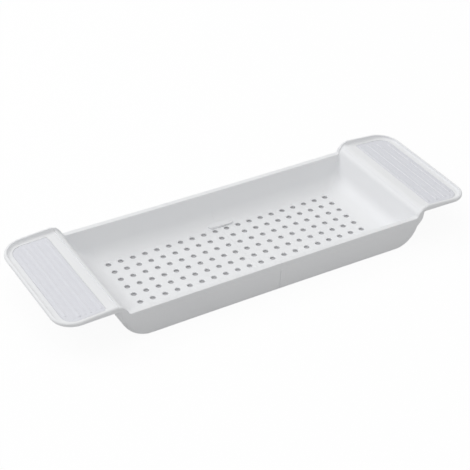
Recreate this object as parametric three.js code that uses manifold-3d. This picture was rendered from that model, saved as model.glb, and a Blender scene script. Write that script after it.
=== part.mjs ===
// Bath caddy, in millimetres. X runs along the tray, Y across it, and Z up from the underside of the floor.
// The tray is two equal halves that plug together at mid-length. Each half has a perforated floor, hollow
// side walls and an end wall that bends over into a wing with an upturned lip. A soft grip sits in each wing.
import * as THREE from 'three';
import { mergeVertices } from 'three/addons/utils/BufferGeometryUtils.js';
import Module from 'manifold-3d';

// Floor and drain holes
const SKIN = 2.5;
const COLUMN_PITCH = 19;
const HOLE_DIAMETER = 8;
const HOLE_COLUMNS = 10;
const HOLE_ROWS = 7;
const HOLE_SIDES = 8;

// Long sides: an inner wall that leans in, a flat rim and an upright outer wall
const RIM_HEIGHT = 43.5;
const RIM_WIDTH = 7.6;
const RIM_EDGE = 0.9;
const INNER_LEAN = 13.6;
const FLOOR_FILLET = 22.8;
const END_FILLET = 7;
const BAND_HEIGHT = 9.5;
const LEDGE = 0.6;
const OUTER_LEAN = 1.7;
const FOOT_EDGE = 1.5;
const SIDE_BOW = 1.2;

// End wall: a wide arc up from the floor, a straight slope and a shoulder, with an outer wall beyond it
const END_ARC_START = 189;
const END_ARC_RADIUS = 36;
const END_SLOPE = THREE.MathUtils.degToRad(68);
const SHOULDER_RADIUS = 15.8;
const END_GAP = 10;
const END_CORNER = 11;
const END_CORNER_LEAD = 19;

// Wing, which falls slightly outwards, and its lip
const WING_END = 324;
const WING_HALF_WIDTH = 102.6;
const WING_TOP = 54;
const WING_FALL_SHARE = 0.058;
const WING_SKIN = 3.4;
const WING_CORNER = 32;
const LIP_WIDTH = 4.1;
const LIP_ROUND = 3;
const LIP_RUN = 3.6;
const LIP_OUTER_RUN = 7.5;
const LIP_UNDER_RUN = 14;
const LIP_FOOT_HEIGHT = 48;
const LIP_HEIGHT_AT_SHOULDER = 5.9;
const LIP_HEIGHT_AT_END = 3.8;
const LIP_RISE_LEAD = 4.2;
const LIP_RISE_LENGTH = 20;
const LIP_LEAST = 3.5;

// Joint of the two halves
const SEAM_GAP = 0.3;
const PLUG_LENGTH = 23;
const PLUG_ROOT = 8;
const PLUG_CLEARANCE = 0.4;
const PLUG_LEAD = 0.5;
const PLUG_FOOT = 3;
const TONGUE_REACH = 24.5;
const TONGUE_ROOT = 15;
const TONGUE_WIDTH = 10.5;
const TONGUE_HEIGHT = 3.2;
const TONGUE_CLEARANCE = 0.5;
const TONGUE_HOLE_GAP = 1.5;
const TONGUE_FLOOR_LAP = 1.24;
const COLLAR_LENGTH = 6.4;
const COLLAR_RAISE = 0.6;
const COLLAR_CORNER = 3;
const COLLAR_FOOT = 3.6;
const COLLAR_LEDGE_GAP = 1.1;

// Soft grip in the wing
const GRIP_LENGTH = 55.5;
const GRIP_INNER_CORNER = 4;
const GRIP_OUTER_CORNER = 17;
const GRIP_END_INSET = 13;
const GRIP_SIDE_INSET = 11.3;
const GRIP_PLATE = 1;
const GRIP_SINK = 0.2;
const GRIP_CLEARANCE = 0.3;
const RIB_COUNT = 7;
const RIB_WIDTH = 4.2;
const RIB_CREST = 0.6;
const RIB_FLANK = 0.3;
const RIB_HEIGHT = 1;
const LOW_RIB_HEIGHT = 0.5;
const RIB_MARGIN = 2.8;
const RIB_END_MARGIN = 5.2;
const RIB_CORNER_CUT = 10;
const STUD_DIAMETER = 6;
const STUD_ROWS = 2;
const STUDS_PER_ROW = 4;
const STUD_SIDES = 12;
const STUD_EDGE = 11;
const GRIP_FOOT = 1.6;
const GRIP_FOOT_INSET = 4;

// Facets, and the overrun of tools and roots past the faces that they meet
const STRAIGHT_STEPS = 4;
const END_ARC_STEPS = 7;
const SLOPE_STEPS = 2;
const SHOULDER_STEPS = 6;
const WING_STEPS = 2;
const CORNER_STEPS = 7;
const FILLET_STEPS = 5;
const UNDER_ARC_STEPS = 3;
const FOOT_STEPS = 3;
const LIP_OUTER_STEPS = FOOT_STEPS + 5;
const CORNER_LINE = FILLET_STEPS + FOOT_STEPS + 7;
const ROUND_SIDES = 24;
const OVERRUN = 1;

// Colours
const WHITE = 0xf2f3f3;
const GRIP_GREY = 0xd9dae1;

// Sizes that follow from those above
const FLOOR_TOP = SKIN;
const SEAM = SEAM_GAP / 2;
const RISE_BY_SLOPE = 1 - Math.cos(END_SLOPE);
const END_ARC_TOP = FLOOR_TOP + END_ARC_RADIUS * RISE_BY_SLOPE;
const END_ARC_STOP = END_ARC_START + END_ARC_RADIUS * Math.sin(END_SLOPE);
const SHOULDER_FOOT = WING_TOP - SHOULDER_RADIUS * RISE_BY_SLOPE;
const SHOULDER_START = END_ARC_STOP + (SHOULDER_FOOT - END_ARC_TOP) / Math.tan(END_SLOPE);
const SHOULDER_STOP = SHOULDER_START + SHOULDER_RADIUS * Math.sin(END_SLOPE);
const INNER_DRAFT = Math.atan(INNER_LEAN / (RIM_HEIGHT - FLOOR_TOP));
const FILLET_TURN = Math.PI / 2 - INNER_DRAFT;
const GRIP_HALF_WIDTH = WING_HALF_WIDTH - GRIP_SIDE_INSET;
const GRIP_OUTER_X = WING_END - GRIP_END_INSET;
const GRIP_INNER_X = GRIP_OUTER_X - GRIP_LENGTH;
const GRIP_MID_X = (GRIP_OUTER_X + GRIP_INNER_X) / 2;
const GRIP_PLATE_TOP = WING_TOP - GRIP_SINK;
const RECESS_FLOOR = GRIP_PLATE_TOP - GRIP_PLATE - GRIP_CLEARANCE;
const WING_UNDERSIDE = WING_TOP - WING_SKIN;
const FOOT_TOP = WING_UNDERSIDE - GRIP_CLEARANCE;
const FOOT_BOTTOM = FOOT_TOP - wingFall(GRIP_OUTER_X - GRIP_FOOT_INSET) - GRIP_FOOT;

const { lerp, smoothstep } = THREE.MathUtils;
const wasm = await Module();
wasm.setup();

// Half width of the tray at x: the long sides bow in a little towards the seam.
function halfWidth(x) {
  const share = Math.min(x / SHOULDER_START, 1);
  return WING_HALF_WIDTH - SIDE_BOW * (1 - share * share);
}

// How far the wing has fallen at x on its way outwards.
function wingFall(x) {
  return WING_FALL_SHARE * Math.max(0, x - SHOULDER_STOP);
}

// Height of the top of the rim or lip at x, before the wing's fall: level along the tray, an S up to the lip,
// then slowly down to the end.
function edgeHeight(x) {
  const alongWing = Math.max(0, (x - SHOULDER_STOP) / (WING_END - SHOULDER_STOP));
  const lipTop = WING_TOP + lerp(LIP_HEIGHT_AT_SHOULDER, LIP_HEIGHT_AT_END, alongWing ** 2);
  const start = SHOULDER_START - LIP_RISE_LEAD;
  return lerp(RIM_HEIGHT, lipTop, smoothstep(x, start, start + LIP_RISE_LENGTH));
}

// Half widths of the side wall's faces at the height z.
const innerFace = (width, z) => width - RIM_WIDTH - INNER_LEAN * (RIM_HEIGHT - z) / (RIM_HEIGHT - FLOOR_TOP);
const outerFace = (width, z) => width + LEDGE - OUTER_LEAN * (RIM_HEIGHT - z) / RIM_HEIGHT;
const skinAcross = SKIN / Math.cos(INNER_DRAFT);

// Half width at which the flat floor turns into the fillet. The tongue lies beside it, and the rows of holes
// share out the floor between the tongues.
const filletStart = (width, floor, radius) => innerFace(width, floor) - radius * Math.tan(FILLET_TURN / 2);
const TONGUE_INNER_Y = filletStart(halfWidth(0), FLOOR_TOP, FLOOR_FILLET) - TONGUE_FLOOR_LAP;
const ROW_PITCH = (TONGUE_INNER_Y - TONGUE_HOLE_GAP - HOLE_DIAMETER / 2) / ((HOLE_ROWS - 1) / 2);

// Section of one side of the tray at x, with the edge's half width and the heights of the floor's top, its
// underside and the rim. It runs from the floor, over the rim, round the hollow and back to the underside.
// The outer wall's lower edge is narrow along the tray and turns into the wide round corner of the end wall,
// square to its slope.
function traySection({ x, z: floor, slope, underX, underZ: under, outerX }, width, edge) {
  const wall = edge - floor;
  const radius = Math.min(lerp(FLOOR_FILLET, END_FILLET, slope / END_SLOPE), wall - RIM_EDGE);
  const start = filletStart(width, floor, radius);
  const band = Math.min(BAND_HEIGHT, wall / 2);
  const atEnd = smoothstep(x, END_ARC_START - END_CORNER_LEAD, END_ARC_START);
  const outer = outerFace(width, under);
  const footRoom = (edge - band - LEDGE - under) / 2 / Math.cos(slope);
  const foot = Math.min(lerp(FOOT_EDGE, END_CORNER, slope / END_SLOPE), footRoom);
  const hollowTop = edge - SKIN;
  const reach = Math.min(radius + SKIN, hollowTop - under);
  const points = [];
  for (let i = 0; i <= FILLET_STEPS; i += 1) {
    const turn = FILLET_TURN * i / FILLET_STEPS;
    points.push([x, start + radius * Math.sin(turn), floor + radius * (1 - Math.cos(turn))]);
  }
  points.push([x, innerFace(width, edge) - RIM_EDGE * Math.tan(INNER_DRAFT), edge - RIM_EDGE]);
  points.push([x, innerFace(width, edge) + RIM_EDGE, edge]);
  points.push([x, width - RIM_EDGE, edge]);
  points.push([x, width, edge - RIM_EDGE]);
  points.push([x, width, edge - band]);
  points.push([x, outerFace(width, edge - band - LEDGE), edge - band - LEDGE]);
  for (let i = 0; i <= FOOT_STEPS; i += 1) {
    const turn = Math.PI / 2 * i / FOOT_STEPS;
    const back = foot * (1 - Math.sin(turn));
    points.push([
      outerX - back * Math.sin(slope),
      outer - foot * (1 - Math.cos(turn)),
      under + back * Math.cos(slope),
    ]);
  }
  points.push([outerX, outer - SKIN - END_CORNER * atEnd, under]);
  points.push([underX, width - SKIN, hollowTop]);
  points.push([underX, innerFace(width, hollowTop) + skinAcross, hollowTop]);
  for (let i = UNDER_ARC_STEPS; i >= 0; i -= 1) {
    const turn = FILLET_TURN * i / UNDER_ARC_STEPS;
    points.push([underX, start + reach * Math.sin(turn), under + reach * (1 - Math.cos(turn))]);
  }
  return points;
}

// Section of one side of the wing: the lip curls up from the wing and its outer face curves down to a foot.
function wingSection(width, top, under, edge, foot) {
  const rise = edge - RIM_EDGE - top;
  const fall = edge - LIP_ROUND - foot;
  const inner = width - LIP_WIDTH;
  const points = [];
  for (let i = 0; i <= FILLET_STEPS + 1; i += 1) {
    const turn = Math.PI / 2 * i / (FILLET_STEPS + 1);
    points.push([inner - LIP_RUN * (1 - Math.sin(turn)), top + rise * (1 - Math.cos(turn))]);
  }
  points.push([inner + RIM_EDGE, edge]);
  points.push([width - LIP_ROUND, edge]);
  for (let i = 0; i <= LIP_OUTER_STEPS; i += 1) {
    const turn = Math.PI / 2 * i / LIP_OUTER_STEPS;
    points.push([width - LIP_OUTER_RUN * (1 - Math.cos(turn)), edge - LIP_ROUND - fall * Math.sin(turn)]);
  }
  for (let i = 1; i <= UNDER_ARC_STEPS + 2; i += 1) {
    const share = i / (UNDER_ARC_STEPS + 2);
    points.push([width - lerp(LIP_OUTER_RUN, LIP_UNDER_RUN, share), lerp(foot, under, share)]);
  }
  return points;
}

// Places along a half from the seam to the end of the wing, with the floor's top, its underside square to it,
// and the outer end wall beyond that. In the last places the wing's corner turns by an angle, about the same
// centre for every line of the section.
function stations() {
  const list = [];
  const add = (x, z, slope, corner) => {
    const blend = smoothstep(x, END_ARC_STOP, SHOULDER_STOP);
    const skin = lerp(SKIN, WING_SKIN, blend);
    const underX = x + skin * Math.sin(slope);
    const outerX = slope > 0 ? underX + END_GAP * (1 - blend) : underX;
    list.push({ x, z, slope, corner, blend, underX, underZ: z - skin * Math.cos(slope), outerX });
  };
  for (let i = 0; i <= STRAIGHT_STEPS; i += 1) {
    add(lerp(SEAM, END_ARC_START, i / STRAIGHT_STEPS), FLOOR_TOP, 0, 0);
  }
  for (let i = 1; i <= END_ARC_STEPS; i += 1) {
    const turn = END_SLOPE * i / END_ARC_STEPS;
    const rise = END_ARC_RADIUS * (1 - Math.cos(turn));
    add(END_ARC_START + END_ARC_RADIUS * Math.sin(turn), FLOOR_TOP + rise, turn, 0);
  }
  for (let i = 1; i <= SLOPE_STEPS; i += 1) {
    const share = i / SLOPE_STEPS;
    add(lerp(END_ARC_STOP, SHOULDER_START, share), lerp(END_ARC_TOP, SHOULDER_FOOT, share), END_SLOPE, 0);
  }
  for (let i = 1; i <= SHOULDER_STEPS; i += 1) {
    const turn = END_SLOPE * (1 - i / SHOULDER_STEPS);
    const drop = SHOULDER_RADIUS * (1 - Math.cos(turn));
    add(SHOULDER_STOP - SHOULDER_RADIUS * Math.sin(turn), WING_TOP - drop, turn, 0);
  }
  for (let i = 1; i <= WING_STEPS; i += 1) {
    add(lerp(SHOULDER_STOP, WING_END - WING_CORNER, i / WING_STEPS), WING_TOP, 0, 0);
  }
  for (let i = 1; i <= CORNER_STEPS; i += 1) {
    add(WING_END - WING_CORNER, WING_TOP, 0, Math.PI / 2 * i / CORNER_STEPS);
  }
  return list;
}

// Points of one side's section at a station. The tray's section turns into the wing's over the shoulder, and
// the wing's fall comes last.
function sectionPoints(station) {
  const { x, z, corner, blend, underZ } = station;
  const width = halfWidth(x);
  const ahead = x + WING_CORNER * Math.sin(corner);
  const edge = Math.max(edgeHeight(ahead), z + LIP_LEAST);
  const foot = Math.min(underZ, LIP_FOOT_HEIGHT + wingFall(ahead));
  const tray = traySection(station, width, edge);
  const wing = wingSection(width, z, underZ, edge, foot);
  return tray.map(([trayX, trayY, trayZ], line) => {
    const y = lerp(trayY, wing[line][0], blend);
    const fromCentre = y - (width - WING_CORNER);
    const turnedX = trayX + (corner > 0 ? fromCentre * Math.sin(corner) : 0);
    return new THREE.Vector3(
      turnedX,
      corner > 0 ? width - WING_CORNER + fromCentre * Math.cos(corner) : y,
      lerp(trayZ, wing[line][1], blend) - wingFall(turnedX),
    );
  });
}

// The shell of a half: a closed skin through the sections of both sides, with the wing's end across and a cap
// at the seam.
function shellGeometry() {
  const sections = stations().map(sectionPoints);
  const lines = sections[0].length;
  const last = sections.length - 1;
  const positions = [];
  for (const side of [1, -1]) {
    for (const section of sections) {
      for (const point of section) positions.push(point.x, side * point.y, point.z);
    }
  }
  const near = (station, line) => station * lines + line;
  const far = (station, line) => near(station + sections.length, line);
  const index = [];
  const quad = (a, b, c, d) => index.push(a, b, c, a, c, d);
  for (let s = 0; s < last; s += 1) {
    for (let j = 0; j < lines - 1; j += 1) {
      quad(near(s, j), near(s + 1, j), near(s + 1, j + 1), near(s, j + 1));
      quad(far(s, j + 1), far(s + 1, j + 1), far(s + 1, j), far(s, j));
    }
    quad(far(s, 0), far(s + 1, 0), near(s + 1, 0), near(s, 0));
    quad(near(s, lines - 1), near(s + 1, lines - 1), far(s + 1, lines - 1), far(s, lines - 1));
  }
  for (let j = 0; j < lines - 1; j += 1) quad(far(last, j), far(last, j + 1), near(last, j + 1), near(last, j));
  const ring = [];
  for (let j = 0; j < lines; j += 1) ring.push(near(0, j));
  for (let j = lines - 1; j >= 0; j -= 1) ring.push(far(0, j));
  const outline = ring.map((v) => new THREE.Vector2(positions[3 * v + 1], positions[3 * v + 2]));
  for (const [a, b, c] of THREE.ShapeUtils.triangulateShape(outline, [])) {
    const counterClockwise = THREE.ShapeUtils.area([outline[a], outline[b], outline[c]]) > 0;
    if (counterClockwise) index.push(ring[a], ring[c], ring[b]);
    else index.push(ring[a], ring[b], ring[c]);
  }
  const geometry = new THREE.BufferGeometry();
  geometry.setAttribute('position', new THREE.Float32BufferAttribute(positions, 3));
  geometry.setIndex(index);
  return geometry;
}

// A closed geometry as a solid for cuts and joins, and back.
function solidOf(geometry) {
  const bare = geometry.clone();
  bare.deleteAttribute('normal');
  bare.deleteAttribute('uv');
  const merged = mergeVertices(bare);
  const mesh = new wasm.Mesh({
    numProp: 3,
    vertProperties: new Float32Array(merged.attributes.position.array),
    triVerts: new Uint32Array(merged.index.array),
  });
  return new wasm.Manifold(mesh);
}

function geometryOf(solid) {
  const { vertProperties, triVerts } = solid.getMesh();
  const geometry = new THREE.BufferGeometry();
  geometry.setAttribute('position', new THREE.BufferAttribute(vertProperties, 3));
  geometry.setIndex(new THREE.BufferAttribute(triVerts, 1));
  geometry.computeVertexNormals();
  return geometry;
}

// Prisms: an outline in Y and Z carried along X, one in X and Z carried along Y, and one in plan carried up.
const outlineOf = (points) => new THREE.Shape(points.map(([a, b]) => new THREE.Vector2(a, b)));

function prismAlongX(shape, from, to, options = {}) {
  const geometry = new THREE.ExtrudeGeometry(shape, { depth: to - from, bevelEnabled: false, ...options });
  const axes = new THREE.Matrix4().set(0, 0, 1, from, 1, 0, 0, 0, 0, 1, 0, 0, 0, 0, 0, 1);
  return solidOf(geometry.applyMatrix4(axes));
}

function prismAlongY(shape, from, to) {
  const geometry = new THREE.ExtrudeGeometry(shape, { depth: to - from, bevelEnabled: false });
  return solidOf(geometry.rotateX(Math.PI / 2).translate(0, to, 0));
}

function prismUp(shape, from, to) {
  const geometry = new THREE.ExtrudeGeometry(shape, {
    depth: to - from,
    bevelEnabled: false,
    curveSegments: Math.ceil(ROUND_SIDES / 4),
  });
  return solidOf(geometry.translate(0, 0, from));
}

function roundedRectangle(left, right, bottom, top, leftRadius, rightRadius = leftRadius) {
  const shape = new THREE.Shape();
  shape.moveTo(left + leftRadius, bottom);
  shape.lineTo(right - rightRadius, bottom);
  shape.absarc(right - rightRadius, bottom + rightRadius, rightRadius, -Math.PI / 2, 0);
  shape.lineTo(right, top - rightRadius);
  shape.absarc(right - rightRadius, top - rightRadius, rightRadius, 0, Math.PI / 2);
  shape.lineTo(left + leftRadius, top);
  shape.absarc(left + leftRadius, top - leftRadius, leftRadius, Math.PI / 2, Math.PI);
  shape.lineTo(left, bottom + leftRadius);
  shape.absarc(left + leftRadius, bottom + leftRadius, leftRadius, Math.PI, 1.5 * Math.PI);
  return shape;
}

function uprightCylinder(x, y, diameter, sides, from, to) {
  const geometry = new THREE.CylinderGeometry(diameter / 2, diameter / 2, to - from, sides);
  return solidOf(geometry.rotateX(Math.PI / 2).translate(x, y, (from + to) / 2));
}

// Drain holes of a half, in straight rows and columns.
function drainHoles() {
  const cutters = [];
  for (let column = 0; column < HOLE_COLUMNS; column += 1) {
    for (let row = 0; row < HOLE_ROWS; row += 1) {
      const x = column * COLUMN_PITCH + COLUMN_PITCH / 2;
      const y = (row - (HOLE_ROWS - 1) / 2) * ROW_PITCH;
      cutters.push(uprightCylinder(x, y, HOLE_DIAMETER, HOLE_SIDES, -OVERRUN, FLOOR_TOP + OVERRUN));
    }
  }
  return cutters;
}

// The outer wall of the end. It rises from the floor's end to the wing's underside, and each of its sides
// ends half way across the strip that the side wall's round corner leaves beside it.
function outerEndWall() {
  const arcs = stations().filter(({ x, slope }) => x < SHOULDER_STOP && slope > 0);
  const positions = [];
  for (const station of arcs) {
    const [corner, strip] = sectionPoints(station).slice(CORNER_LINE, CORNER_LINE + 2);
    const { x, y, z } = corner.add(strip).multiplyScalar(1 / 2);
    const insideX = x - SKIN * Math.sin(station.slope);
    const insideZ = z + SKIN * Math.cos(station.slope);
    positions.push(x, y, z, insideX, y, insideZ, insideX, -y, insideZ, x, -y, z);
  }
  const last = positions.length / 3 - 4;
  const index = [0, 2, 1, 0, 3, 2, last, last + 1, last + 2, last, last + 2, last + 3];
  for (let ring = 0; ring < last; ring += 4) {
    for (let i = 0; i < 4; i += 1) {
      const a = ring + i;
      const b = ring + (i + 1) % 4;
      index.push(a, b, b + 4, a, b + 4, a + 4);
    }
  }
  const geometry = new THREE.BufferGeometry();
  geometry.setAttribute('position', new THREE.Float32BufferAttribute(positions, 3));
  geometry.setIndex(index);
  return solidOf(geometry);
}

// Outline of the side wall's hollow at the seam, drawn in by the clearance given, from the height given up.
function hollowOutline(clearance, foot) {
  const width = halfWidth(0);
  const top = RIM_HEIGHT - SKIN;
  const outerAt = (z) => lerp(outerFace(width, 0), width, z / top) - SKIN - clearance;
  const innerAt = (z) => innerFace(width, z) + skinAcross + clearance;
  const head = top - clearance;
  const points = [[innerAt(foot), foot], [outerAt(foot), foot], [outerAt(head), head], [innerAt(head), head]];
  return outlineOf(points);
}

// The plug in the back wall: its root fills the half's own hollow, and the rest slides into the other half.
function plug() {
  const lead = { bevelEnabled: true, bevelSegments: 1, bevelThickness: PLUG_LEAD, bevelSize: PLUG_LEAD };
  const body = prismAlongX(hollowOutline(PLUG_CLEARANCE, PLUG_FOOT), -PLUG_LENGTH + PLUG_LEAD,
    PLUG_ROOT - OVERRUN - PLUG_LEAD, { ...lead, bevelOffset: -PLUG_LEAD });
  const root = prismAlongX(hollowOutline(-OVERRUN, PLUG_FOOT), SEAM, PLUG_ROOT);
  return body.add(root);
}

// Outline in Y and Z of the tongue on the front side: its underside follows the floor and its fillet at the
// gap given, which is less than nothing at the root.
function tongueOutline(gap) {
  const start = filletStart(halfWidth(0), FLOOR_TOP, FLOOR_FILLET);
  const radius = FLOOR_FILLET - gap;
  const reach = Math.asin((TONGUE_INNER_Y + TONGUE_WIDTH - start) / radius);
  const points = [[-TONGUE_INNER_Y, FLOOR_TOP + TONGUE_HEIGHT], [-TONGUE_INNER_Y, FLOOR_TOP + gap]];
  for (let i = 0; i <= FILLET_STEPS; i += 1) {
    const turn = reach * i / FILLET_STEPS;
    points.push([-start - radius * Math.sin(turn), FLOOR_TOP + FLOOR_FILLET - radius * Math.cos(turn)]);
  }
  points.push([-TONGUE_INNER_Y - TONGUE_WIDTH, FLOOR_TOP + TONGUE_HEIGHT]);
  return outlineOf(points.reverse());
}

// The flat tongue with round ends that laps over the other half's floor.
function tongue() {
  const outer = -TONGUE_INNER_Y - TONGUE_WIDTH;
  const plan = roundedRectangle(-TONGUE_REACH, TONGUE_ROOT, outer, -TONGUE_INNER_Y, TONGUE_WIDTH / 2);
  const lap = prismAlongX(tongueOutline(TONGUE_CLEARANCE), -TONGUE_REACH, TONGUE_ROOT);
  const root = prismAlongX(tongueOutline(-OVERRUN), SEAM, TONGUE_ROOT);
  return lap.add(root).intersect(prismUp(plan, 0, RIM_HEIGHT));
}

// The raised panel beside the seam, outside the front wall.
function collar() {
  const width = halfWidth(0);
  const foot = COLLAR_FOOT;
  const top = RIM_HEIGHT - BAND_HEIGHT - LEDGE - COLLAR_LEDGE_GAP;
  const faceAt = (z, raise) => [-outerFace(width, z) - raise, z];
  const layer = outlineOf([faceAt(foot, COLLAR_RAISE), faceAt(foot, -OVERRUN), faceAt(top, -OVERRUN),
    faceAt(top, COLLAR_RAISE)]);
  const panel = roundedRectangle(-COLLAR_LENGTH, COLLAR_LENGTH, foot, top, COLLAR_CORNER);
  const cutter = prismAlongY(panel, -WING_HALF_WIDTH - OVERRUN, 0);
  return prismAlongX(layer, SEAM, COLLAR_LENGTH).intersect(cutter);
}

// Places of the studs that hold a grip.
function studPlaces() {
  const places = [];
  for (let row = 0; row < STUD_ROWS; row += 1) {
    for (let i = 0; i < STUDS_PER_ROW; i += 1) {
      const x = lerp(GRIP_INNER_X + STUD_EDGE, GRIP_OUTER_X - STUD_EDGE, row / (STUD_ROWS - 1));
      const y = lerp(STUD_EDGE - GRIP_HALF_WIDTH, GRIP_HALF_WIDTH - STUD_EDGE, i / (STUDS_PER_ROW - 1));
      places.push([x, y]);
    }
  }
  return places;
}

// Plan of a grip, grown by the amount given. Its inner corners stay round when it shrinks.
function gripPlan(grow) {
  return roundedRectangle(GRIP_INNER_X - grow, GRIP_OUTER_X + grow, -GRIP_HALF_WIDTH - grow,
    GRIP_HALF_WIDTH + grow, Math.max(GRIP_INNER_CORNER + grow, RIM_EDGE), GRIP_OUTER_CORNER + grow);
}

// A level solid beyond the shoulder, leant so that it follows the wing's fall.
function lean(solid) {
  const shear = new THREE.Matrix4().set(1, 0, 0, 0, 0, 1, 0, 0,
    -WING_FALL_SHARE, 0, 1, WING_FALL_SHARE * SHOULDER_STOP, 0, 0, 0, 1);
  return solid.transform(shear.elements);
}

function trayHalf() {
  const cutters = drainHoles();
  cutters.push(lean(prismUp(gripPlan(GRIP_CLEARANCE), RECESS_FLOOR, WING_TOP + OVERRUN)));
  const studHole = STUD_DIAMETER + 2 * GRIP_CLEARANCE;
  for (const [x, y] of studPlaces()) {
    cutters.push(lean(uprightCylinder(x, y, studHole, STUD_SIDES, WING_UNDERSIDE - OVERRUN, WING_TOP)));
  }
  let half = solidOf(shellGeometry()).add(outerEndWall()).add(plug()).add(tongue()).add(collar());
  for (const cutter of cutters) half = half.subtract(cutter);
  return geometryOf(half);
}

// A rib of the grip, steep towards the tray and gentle outwards. Every second one is lower, and the last is
// shorter because the grip's outer corners are round.
function rib(i) {
  const first = GRIP_INNER_X + RIB_MARGIN;
  const x = lerp(first, GRIP_OUTER_X - RIB_MARGIN - RIB_WIDTH, i / (RIB_COUNT - 1));
  const foot = GRIP_PLATE_TOP - GRIP_PLATE / 2;
  const crest = GRIP_PLATE_TOP + (i % 2 === 0 ? RIB_HEIGHT : LOW_RIB_HEIGHT);
  const outline = outlineOf([[x, foot], [x + RIB_WIDTH, foot], [x + RIB_WIDTH, GRIP_PLATE_TOP],
    [x + RIB_FLANK + RIB_CREST, crest], [x + RIB_FLANK, crest], [x, GRIP_PLATE_TOP]]);
  const end = GRIP_HALF_WIDTH - RIB_END_MARGIN - (i < RIB_COUNT - 1 ? 0 : RIB_CORNER_CUT);
  return prismAlongY(outline, -end, end);
}

// A grip: a ribbed plate in the wing's recess, studs through the wing and a foot under it, in one moulding.
// The plate and the ribs fall with the wing, and the foot's underside is level.
function grip() {
  let body = prismUp(gripPlan(0), GRIP_PLATE_TOP - GRIP_PLATE, GRIP_PLATE_TOP);
  for (let i = 0; i < RIB_COUNT; i += 1) body = body.add(rib(i));
  for (const [x, y] of studPlaces()) {
    const foot = FOOT_TOP - GRIP_FOOT / 2;
    body = body.add(uprightCylinder(x, y, STUD_DIAMETER, STUD_SIDES, foot, GRIP_PLATE_TOP - GRIP_PLATE / 2));
  }
  const footPlan = gripPlan(-GRIP_FOOT_INSET);
  const footBlock = prismUp(footPlan, FOOT_BOTTOM, WING_TOP);
  return geometryOf(lean(body).add(footBlock.intersect(lean(prismUp(footPlan, 0, FOOT_TOP)))));
}

// Materials
const plastic = () => new THREE.MeshStandardMaterial({ color: WHITE, roughness: 0.45, metalness: 0 });
const softGrip = () => new THREE.MeshStandardMaterial({ color: GRIP_GREY, roughness: 0.75, metalness: 0 });

function named(name, geometry, material) {
  const mesh = new THREE.Mesh(geometry, material);
  mesh.name = name;
  return mesh;
}

// The left half is the right one turned half way round about the upright axis at mid-length.
const halfGeometry = trayHalf();
const gripGeometry = grip();
const right = new THREE.Group();
right.add(named('tray_half_right', halfGeometry, plastic()), named('grip_right', gripGeometry, softGrip()));
const left = new THREE.Group();
left.rotation.z = Math.PI;
left.add(named('tray_half_left', halfGeometry, plastic()), named('grip_left', gripGeometry, softGrip()));
const caddy = new THREE.Group();
caddy.add(left, right);

export default caddy;
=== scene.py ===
# %% [markdown]
# # A bath caddy
# This caddy lies across a bath and holds soap, sponges and bottles. It is two equal halves of
# white plastic that plug together at mid-length, and each half has a soft ribbed grip in its
# wing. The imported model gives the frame: where every piece is, and what moves with what. This
# script keeps those places and sizes, and makes finer pieces and finishes for the picture.

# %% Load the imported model
import math
from types import SimpleNamespace

import bmesh
import bpy
import numpy as np
from mathutils import Matrix, Quaternion, Vector


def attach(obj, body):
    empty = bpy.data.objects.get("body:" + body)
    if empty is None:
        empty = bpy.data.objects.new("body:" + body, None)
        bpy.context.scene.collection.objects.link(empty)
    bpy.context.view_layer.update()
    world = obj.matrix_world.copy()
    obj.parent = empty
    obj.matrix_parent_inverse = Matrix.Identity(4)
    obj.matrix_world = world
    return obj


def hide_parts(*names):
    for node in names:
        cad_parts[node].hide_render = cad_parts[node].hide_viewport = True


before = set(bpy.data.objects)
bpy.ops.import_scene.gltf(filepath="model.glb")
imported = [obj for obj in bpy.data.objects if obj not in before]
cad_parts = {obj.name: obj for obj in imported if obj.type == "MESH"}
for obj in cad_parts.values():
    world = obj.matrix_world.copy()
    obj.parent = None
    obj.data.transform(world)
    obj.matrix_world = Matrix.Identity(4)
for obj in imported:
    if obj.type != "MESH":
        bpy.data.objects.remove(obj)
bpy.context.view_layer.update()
print("nodes:", ", ".join(sorted(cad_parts)))

# %% [markdown]
# ## The camera
# The photograph is taken from the front left, from almost two metres away, and looks down at
# about 35 degrees. A camera can be aimed with a constraint or by hand. Here its direction comes
# from an azimuth, an elevation and a small roll, because those three angles can be read off the
# photograph and changed one at a time.

# %% Camera
CAMERA_PLACE = Vector((-0.8384, -1.3198, 1.1137))
CAMERA_AZIMUTH = math.radians(-32.07)
CAMERA_ELEVATION = math.radians(34.79)
CAMERA_ROLL = math.radians(2.13)
CAMERA_LENS = 103.98
CAMERA_SENSOR = 36.0

camera_data = bpy.data.cameras.new("camera")
camera_data.sensor_width = CAMERA_SENSOR
camera_data.lens = CAMERA_LENS
camera = bpy.data.objects.new("camera", camera_data)
bpy.context.scene.collection.objects.link(camera)
level = math.cos(CAMERA_ELEVATION)
back = Vector((
    math.sin(CAMERA_AZIMUTH) * level,
    -math.cos(CAMERA_AZIMUTH) * level,
    math.sin(CAMERA_ELEVATION),
))
camera.location = CAMERA_PLACE
camera.rotation_mode = "QUATERNION"
camera.rotation_quaternion = (-back).to_track_quat("-Z", "Y") @ Quaternion((0, 0, 1), CAMERA_ROLL)
bpy.context.scene.camera = camera
print("camera is", round(CAMERA_PLACE.length, 2), "m from the caddy's middle")

# %% [markdown]
# ## The shape of a half
# A half is one injection moulding. Its section is a flat floor, a wide fillet, a leaning inner
# wall, a flat rim and an upright outer wall with a hollow between the walls. At the end the
# floor curves up into a slope, bends over a shoulder and becomes the wing, whose lip curls up.
# Such a shape could be a subdivision surface, but its widths and heights follow rules. So the
# section is a function of the place along the half, and the surface is a loft through many
# sections that all have the same number of points.

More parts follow.
